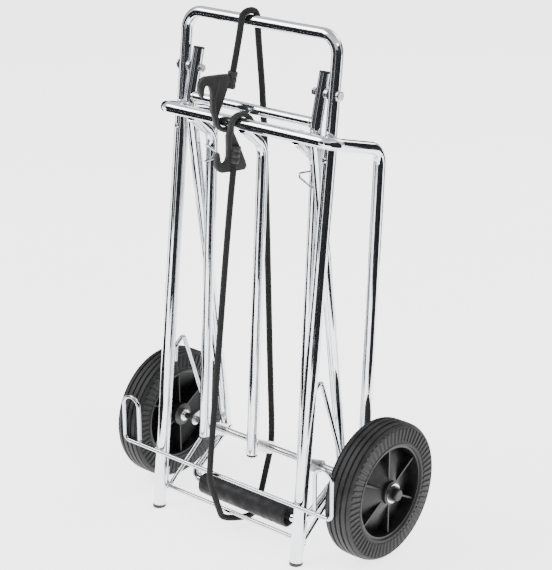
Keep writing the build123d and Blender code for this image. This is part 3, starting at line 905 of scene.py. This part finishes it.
@dataclass
class Weld:
    """Lumpy bead of weld metal along a short line."""

    name: str
    body: str
    path: tuple[Point, ...]
    size: float = 1.5

    def build(self, wardrobe: Wardrobe) -> bpy.types.Object:
        """Makes the bead from its path in millimetres."""
        ends = [Vector(p) * MM for p in self.path]
        line: list[Vector] = []
        for first, second in zip(ends, ends[1:]):
            line += [first.lerp(second, k / 8) for k in range(8)]
        line.append(ends[-1])
        ripples = max(3, round(len(line) / 3))

        def thickness(way: float) -> float:
            """Radius at a fraction of the way, pinched at the ends and rippled."""
            taper = min(1.0, 0.35 + 5 * way, 0.35 + 5 * (1 - way))
            return self.size * MM * taper * (1 + 0.14 * math.sin(TURN * ripples * way))

        piece = sweep(self.name, line, thickness, 10)
        wardrobe.dress(piece, "weld")
        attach(piece, self.body)
        return piece


@dataclass
class Steelwork:
    """Chromed tubes, wires and fittings, with the welds that hold them."""

    foot_y: float = -95.2
    lean: float = 0.117
    leg_x: float = 133.0
    leg_radius: float = 9.5

    def leg_y(self, z: float) -> float:
        """Middle line of the legs at a height, in millimetres."""
        return self.foot_y + self.lean * z

    def arc(self, x: float, y: float, z: float, radius: float, start: float, end: float,
            plane: str) -> tuple[Point, ...]:
        """Arc round a tube, in degrees, in the plane named by its two axes."""
        points = []
        for k in range(7):
            angle = math.radians(start + (end - start) * k / 6)
            u, v = radius * math.cos(angle), radius * math.sin(angle)
            points.append({"XZ": (x + u, y, z + v), "YZ": (x, y + u, z + v),
                           "XY": (x + u, y + v, z)}[plane])
        return tuple(points)

    def welds(self) -> list[Weld]:
        """All the beads."""
        beads = []
        for side in Side:
            s, label = side.value, side.label
            x = s * self.leg_x
            for number, (z, way, reach) in enumerate(((91.0, -1, 6.5), (28.0, 1, 6.5))):
                y = self.leg_y(z) + way * (self.leg_radius + 0.9)
                for lift in (-2.4, 2.4):
                    tag = "over" if lift > 0 else "under"
                    beads.append(Weld(f"weld_wire_{number}_{tag}_{label}", "frame",
                                      ((x - reach, y, z + lift), (x, y - way * 0.4, z + lift),
                                       (x + reach, y, z + lift)), 1.2))
            high = 234.0
            y = self.leg_y(high) + self.leg_radius + 0.9
            beads.append(Weld(f"weld_stay_{label}", "frame",
                              ((x + s * 0.6, y, high - 9), (x + s * 0.9, y + 1.2, high),
                               (x + s * 0.6, y + 2.6, high + 11)), 1.3))
            beads.append(Weld(f"weld_hook_{label}", "frame",
                              ((s * 164.5, -97.1, 95.2), (s * 168.0, -99.4, 95.6),
                               (s * 171.5, -97.1, 95.2)), 1.3))
            beads.append(Weld(f"weld_bow_{label}", "pull_handle",
                              self.arc(s * 112.0, 27.2, 90.6, 8.2, 100, 260, "YZ"), 1.5))
            beads.append(Weld(f"weld_spreader_{label}", "pull_handle",
                              self.arc(s * 104.4, -29.1, 617.0, 7.4, 110, 430, "YZ"), 1.1))
            beads.append(Weld(f"weld_lug_{label}", "deck",
                              ((s * 152.0 + 1.9, 27.5, 99.0), (s * 152.0 + 1.9, 24.0, 99.5),
                               (s * 152.0 + 1.9, 20.8, 100.5)), 1.0))
        for label, x in (("left", -94.0), ("centre", 0.0), ("right", 94.0)):
            beads.append(Weld(f"weld_bar_{label}", "deck",
                              self.arc(x, -38.6, 598.0, 8.3, 20, 160, "XZ"), 1.2))
        return beads

    def build(self, wardrobe: Wardrobe) -> None:
        """Dresses the steel nodes and lays the welds."""
        both = [side.label for side in Side]
        wardrobe.dress_nodes(["handle_hoop", "deck_hoop", "grip_bow", "spreader_tube"], "chrome")
        wardrobe.dress_nodes([f"{n}_{b}" for n in ("leg", "pull_tube") for b in both], "chrome")
        wardrobe.dress_nodes([f"deck_bar_{b}" for b in (*both, "centre")], "chrome")
        wardrobe.dress_nodes(["front_wire", "lower_wire"], "wire")
        wardrobe.dress_nodes([f"{n}_{b}" for n in ("axle_stay", "wire_loop") for b in both], "wire")
        wardrobe.dress_nodes(["axle", "spreader_screw"], "steel")
        wardrobe.dress_nodes([f"{n}_{b}" for n in (
            "hoop_rivet", "pivot_bolt", "pivot_nut", "pivot_spacer", "hub_washer",
            "axle_collar", "rail_lug") for b in both], "steel")
        wardrobe.dress_nodes([f"bar_lug_{b}" for b in (*both, "centre")], "steel")
        wardrobe.dress_nodes([f"{n}_{b}" for n in ("foot_plug", "hub_cap", "pull_cap", "bar_plug")
                              for b in both] + ["bar_plug_centre"], "plastic")
        beads = [bead.build(wardrobe) for bead in self.welds()]
        log.info("steelwork: dressed, %d welds", len(beads))


def main() -> None:
    """Builds the studio, the cord and then every part of the cart."""
    logging.basicConfig(level=logging.INFO, format="%(name)s: %(message)s")
    wardrobe = Wardrobe(Palette())
    Studio().build()
    Bungee().build(wardrobe)
    Steelwork().build(wardrobe)
    for side in Side:
        Wheel(side).build(wardrobe)
    HandGrip().build(wardrobe)


if __name__ == "__main__":
    main()
